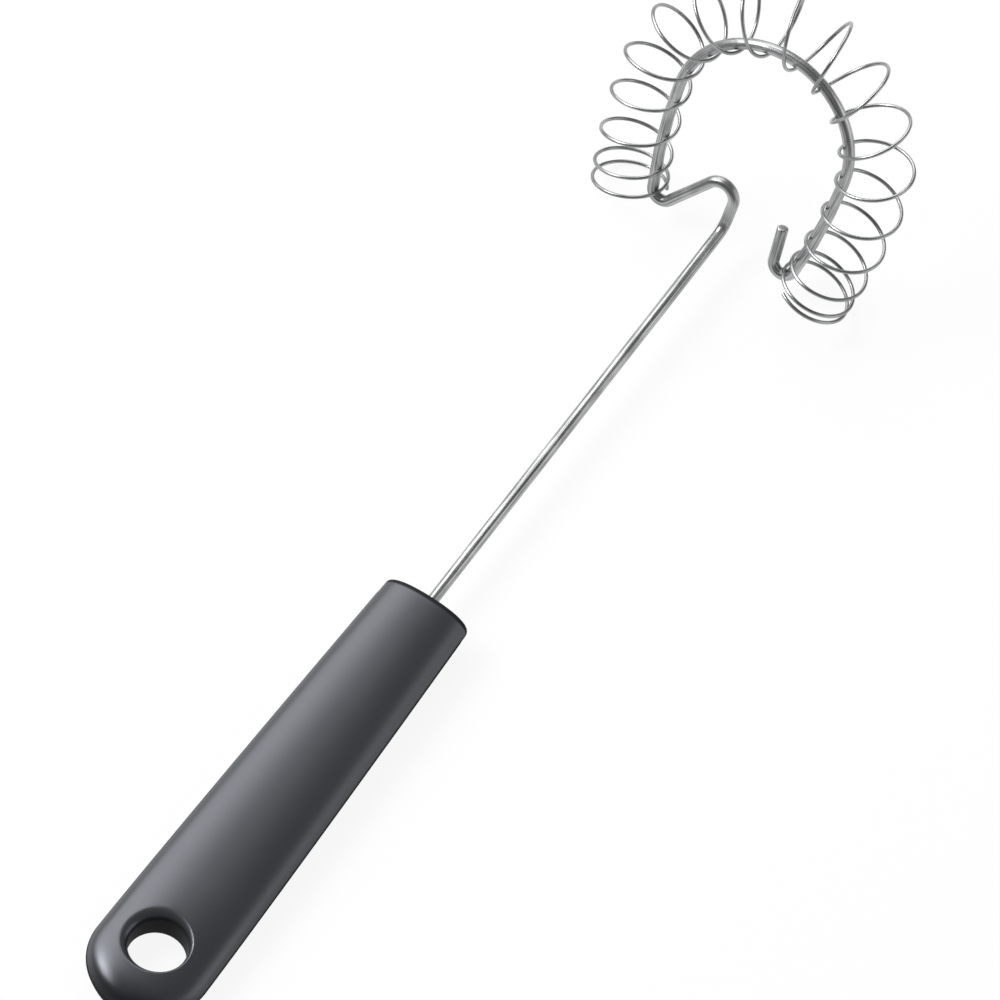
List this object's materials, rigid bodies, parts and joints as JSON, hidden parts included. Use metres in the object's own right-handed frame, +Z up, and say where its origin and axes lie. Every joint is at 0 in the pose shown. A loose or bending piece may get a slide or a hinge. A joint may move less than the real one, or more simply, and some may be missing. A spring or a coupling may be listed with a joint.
{
  "type": "spiral whisk",
  "caption": "Spiral whisk with a tapered oval handle, a straight wire stem and a bow bent up at an angle that carries a loose thin-wire coil, for whisking sauces and froth.",
  "frame": {"origin": "the middle of the handle's length, on the flat land under it", "axes": "+X along the handle from butt to head, +Y to the left, +Z up away from the land, out of the handle's broad face"},
  "size_m": [0.2577, 0.0692, 0.0636],
  "materials": {
    "handle_plastic": "charcoal moulded plastic with a fine satin skin",
    "frame_steel": "polished stainless steel wire",
    "coil_steel": "bright drawn stainless spring wire"
  },
  "bodies": {
    "handle_and_wire": {"handle": "handle_plastic", "wire_frame": "frame_steel"},
    "coil": {"whisk_coil": "coil_steel"}
  },
  "joints": [
    {"name": "coil_float", "type": "slide", "parent": "handle_and_wire", "child": "coil", "axis": [-0.9114, 0, 0.4116], "range_m": [0, 0.002]}
  ]
}
